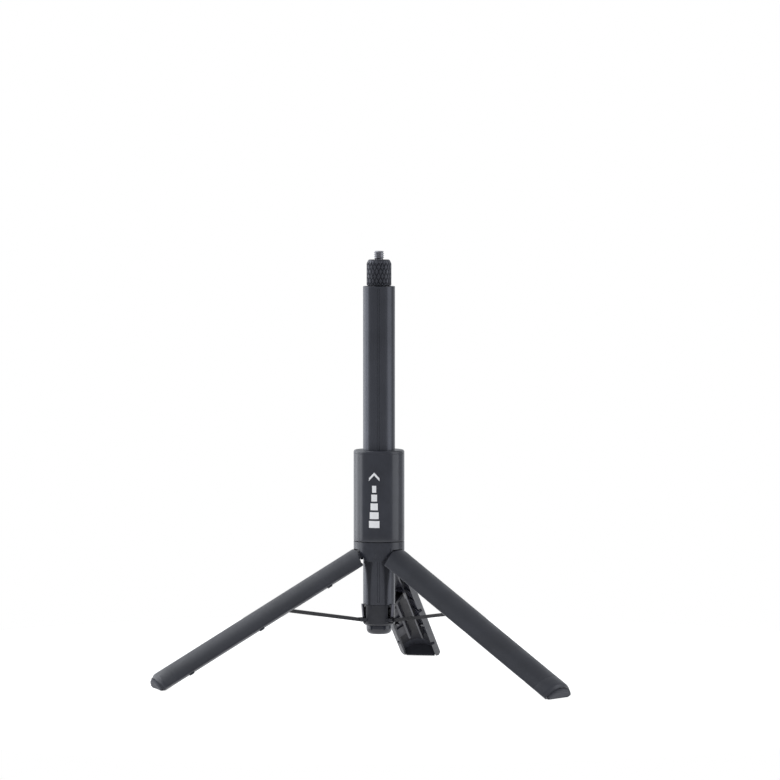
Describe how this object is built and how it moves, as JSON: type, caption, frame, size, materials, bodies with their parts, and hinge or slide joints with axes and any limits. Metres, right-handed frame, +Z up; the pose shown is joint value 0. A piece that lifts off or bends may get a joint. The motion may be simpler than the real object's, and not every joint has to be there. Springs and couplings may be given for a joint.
{
  "type": "telescopic selfie stick with fold-out tripod legs",
  "caption": "Telescoping camera pole with a knurled screw head; the handle splits into legs that open as a stand when the pole is drawn out, spread by struts.",
  "frame": {"origin": "on the floor that the three feet stand on, on the axis of the pole", "axes": "+Z up along the pole towards the camera screw; +Y towards the back leg; the other two legs open to the left (-X) and right (+X) of the front; -Y is the front"},
  "size_m": [0.268, 0.236, 0.2744],
  "materials": {
    "sleeve_plastic": "smooth satin charcoal",
    "bezel_plastic": "satin charcoal",
    "ring_plastic": "satin charcoal",
    "leg_grip": "fine diamond grip texture",
    "leg_inside": "moulded satin grey",
    "foot_cap_plastic": "smooth satin charcoal",
    "foot_rubber": "ribbed matt grey",
    "anodised_tube": "dark satin anodised",
    "inner_tubes": "dark satin anodised",
    "hub_plastic": "satin black",
    "end_cap_plastic": "satin charcoal",
    "strut_steel": "black coated strip",
    "clip_steel": "dark spring steel",
    "pin_steel": "bright steel",
    "screw_steel": "black screws",
    "bush_plastic": "slippery black acetal",
    "shoe_plastic": "slippery black acetal",
    "head_metal": "dark anodised, knurled",
    "head_rubber": "matt rubber",
    "camera_screw_steel": "plated steel thread"
  },
  "bodies": {
    "handle": {"handle_sleeve": "sleeve_plastic", "sleeve_bezel": "bezel_plastic", "upper_guide_bush": "bush_plastic", "lower_guide_bush": "bush_plastic", "hinge_ring": "ring_plastic", "hinge_pins": "pin_steel", "ring_screws": "screw_steel"},
    "pole": {"outer_tube": "anodised_tube", "mouth_bush_0": "bush_plastic", "strut_hub": "hub_plastic", "hub_clips": "clip_steel", "end_cap": "end_cap_plastic", "end_cap_screw": "screw_steel"},
    "leg_back": {"leg_shell_back": "leg_grip", "leg_frame_back": "leg_inside", "frame_screws_back": "screw_steel", "foot_cap_back": "foot_cap_plastic", "foot_pad_back": "foot_rubber"},
    "shoe_back": {"strut_shoe_back": "shoe_plastic", "shoe_pin_back": "pin_steel"},
    "strut_back": {"strut_back": "strut_steel"},
    "leg_left": {"leg_shell_left": "leg_grip", "leg_frame_left": "leg_inside", "frame_screws_left": "screw_steel", "foot_cap_left": "foot_cap_plastic", "foot_pad_left": "foot_rubber"},
    "shoe_left": {"strut_shoe_left": "shoe_plastic", "shoe_pin_left": "pin_steel"},
    "strut_left": {"strut_left": "strut_steel"},
    "leg_right": {"leg_shell_right": "leg_grip", "leg_frame_right": "leg_inside", "frame_screws_right": "screw_steel", "foot_cap_right": "foot_cap_plastic", "foot_pad_right": "foot_rubber"},
    "shoe_right": {"strut_shoe_right": "shoe_plastic", "shoe_pin_right": "pin_steel"},
    "strut_right": {"strut_right": "strut_steel"},
    "section_1": {"section_1": "inner_tubes", "slide_bush_1": "bush_plastic", "mouth_bush_1": "bush_plastic"},
    "section_2": {"section_2": "inner_tubes", "slide_bush_2": "bush_plastic", "mouth_bush_2": "bush_plastic"},
    "section_3": {"section_3": "inner_tubes", "slide_bush_3": "bush_plastic", "mouth_bush_3": "bush_plastic"},
    "section_4": {"section_4": "inner_tubes", "slide_bush_4": "bush_plastic", "mouth_bush_4": "bush_plastic"},
    "section_5": {"section_5": "inner_tubes", "slide_bush_5": "bush_plastic", "head_core": "head_metal", "knurled_ring": "head_metal", "head_pad": "head_rubber", "camera_screw": "camera_screw_steel"}
  },
  "joints": [
    {"name": "pole_slide", "type": "slide", "parent": "handle", "child": "pole", "axis": [0, 0, 1], "range_m": [-0.101, 0]},
    {"name": "leg_fold_back", "type": "hinge", "parent": "handle", "child": "leg_back", "pos_m": [0, 0.0125, 0.0829], "axis": [-1, 0, 0], "range_deg": [0, 60.4]},
    {"name": "shoe_slide_back", "type": "slide", "parent": "leg_back", "child": "shoe_back", "axis": [0, 0.8686, -0.4955], "range_m": [0, 0.01513]},
    {"name": "strut_swing_back", "type": "hinge", "parent": "shoe_back", "child": "strut_back", "pos_m": [0, 0.07252, 0.04866], "axis": [1, 0, 0], "range_deg": [0, 142.12]},
    {"name": "leg_fold_left", "type": "hinge", "parent": "handle", "child": "leg_left", "pos_m": [-0.01083, -0.00625, 0.0829], "axis": [0.5, -0.866, 0], "range_deg": [0, 60.4]},
    {"name": "shoe_slide_left", "type": "slide", "parent": "leg_left", "child": "shoe_left", "axis": [-0.7523, -0.4343, -0.4955], "range_m": [0, 0.01513]},
    {"name": "strut_swing_left", "type": "hinge", "parent": "shoe_left", "child": "strut_left", "pos_m": [-0.06281, -0.03626, 0.04866], "axis": [-0.5, 0.866, 0], "range_deg": [0, 142.12]},
    {"name": "leg_fold_right", "type": "hinge", "parent": "handle", "child": "leg_right", "pos_m": [0.01083, -0.00625, 0.0829], "axis": [0.5, 0.866, 0], "range_deg": [0, 60.4]},
    {"name": "shoe_slide_right", "type": "slide", "parent": "leg_right", "child": "shoe_right", "axis": [0.7523, -0.4343, -0.4955], "range_m": [0, 0.01513]},
    {"name": "strut_swing_right", "type": "hinge", "parent": "shoe_right", "child": "strut_right", "pos_m": [0.06281, -0.03626, 0.04866], "axis": [-0.5, -0.866, 0], "range_deg": [0, 142.12]},
    {"name": "section_slide_1", "type": "slide", "parent": "pole", "child": "section_1", "axis": [0, 0, 1], "range_m": [0, 0.174]},
    {"name": "section_slide_2", "type": "slide", "parent": "section_1", "child": "section_2", "axis": [0, 0, 1], "range_m": [0, 0.174]},
    {"name": "section_slide_3", "type": "slide", "parent": "section_2", "child": "section_3", "axis": [0, 0, 1], "range_m": [0, 0.174]},
    {"name": "section_slide_4", "type": "slide", "parent": "section_3", "child": "section_4", "axis": [0, 0, 1], "range_m": [0, 0.174]},
    {"name": "section_slide_5", "type": "slide", "parent": "section_4", "child": "section_5", "axis": [0, 0, 1], "range_m": [0, 0.174]}
  ],
  "couplings": [
    {"joint": "leg_fold_back", "follows": "pole_slide", "rad_per_m": -10.42},
    {"joint": "shoe_slide_back", "follows": "pole_slide", "ratio": -0.14929},
    {"joint": "strut_swing_back", "follows": "pole_slide", "rad_per_m": -24.542},
    {"joint": "leg_fold_left", "follows": "pole_slide", "rad_per_m": -10.42},
    {"joint": "shoe_slide_left", "follows": "pole_slide", "ratio": -0.14929},
    {"joint": "strut_swing_left", "follows": "pole_slide", "rad_per_m": -24.542},
    {"joint": "leg_fold_right", "follows": "pole_slide", "rad_per_m": -10.42},
    {"joint": "shoe_slide_right", "follows": "pole_slide", "ratio": -0.14929},
    {"joint": "strut_swing_right", "follows": "pole_slide", "rad_per_m": -24.542}
  ]
}
